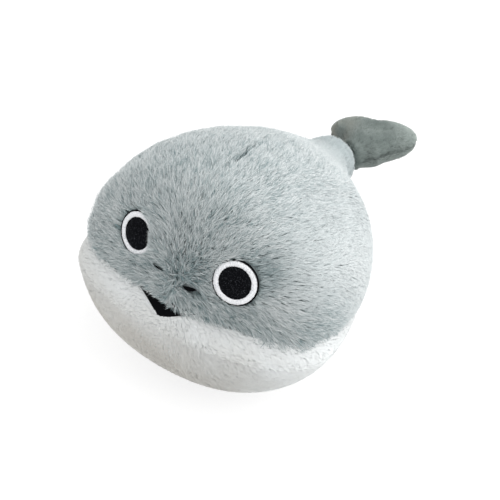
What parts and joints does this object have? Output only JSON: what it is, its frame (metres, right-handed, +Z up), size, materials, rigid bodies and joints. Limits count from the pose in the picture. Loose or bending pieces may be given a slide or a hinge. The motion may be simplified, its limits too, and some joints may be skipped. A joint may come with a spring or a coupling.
{
  "type": "plush fish",
  "caption": "Stuffed round-bodied fish with grey and white pile covers, embroidered eyes and a soft bending tail with a two-lobed fluke; rests on its belly.",
  "frame": {"origin": "middle of the flat patch that the belly rests on", "axes": "+Y from the nose to the tail, +X to the fish's left, +Z up"},
  "size_m": [0.2302, 0.3365, 0.1806],
  "materials": {
    "grey_pile": "long soft pile",
    "white_pile": "long soft pile",
    "dark_pile": "short soft pile",
    "black_felt": "matt felt",
    "black_thread": "embroidery thread",
    "white_thread": "embroidery thread",
    "fibre": "polyester fibre"
  },
  "bodies": {
    "body": {"body_filling": "fibre", "upper_cover_left": "grey_pile", "upper_cover_right": "grey_pile", "belly_cover": "white_pile", "mouth_patch": "black_felt", "eye_outline_left": "black_thread", "eye_white_left": "white_thread", "eye_pupil_left": "black_thread", "eye_outline_right": "black_thread", "eye_white_right": "white_thread", "eye_pupil_right": "black_thread", "nostril_stitch_left": "black_thread", "nostril_stitch_right": "black_thread"},
    "tail_stem": {"tail_stem_cover": "grey_pile", "tail_stem_filling": "fibre"},
    "fluke": {"fluke_top_cover": "dark_pile", "fluke_bottom_cover": "dark_pile", "fluke_filling": "fibre"}
  },
  "joints": [
    {"name": "tail_bend", "type": "hinge", "parent": "body", "child": "tail_stem", "pos_m": [0, 0.12, 0.079], "axis": [0, 0, 1], "range_deg": [-20, 20], "stiffness_Nm_per_rad": 0.3},
    {"name": "fluke_flap", "type": "hinge", "parent": "tail_stem", "child": "fluke", "pos_m": [0, 0.16, 0.073], "axis": [1, 0, 0], "range_deg": [-30, 30], "stiffness_Nm_per_rad": 0.25}
  ]
}
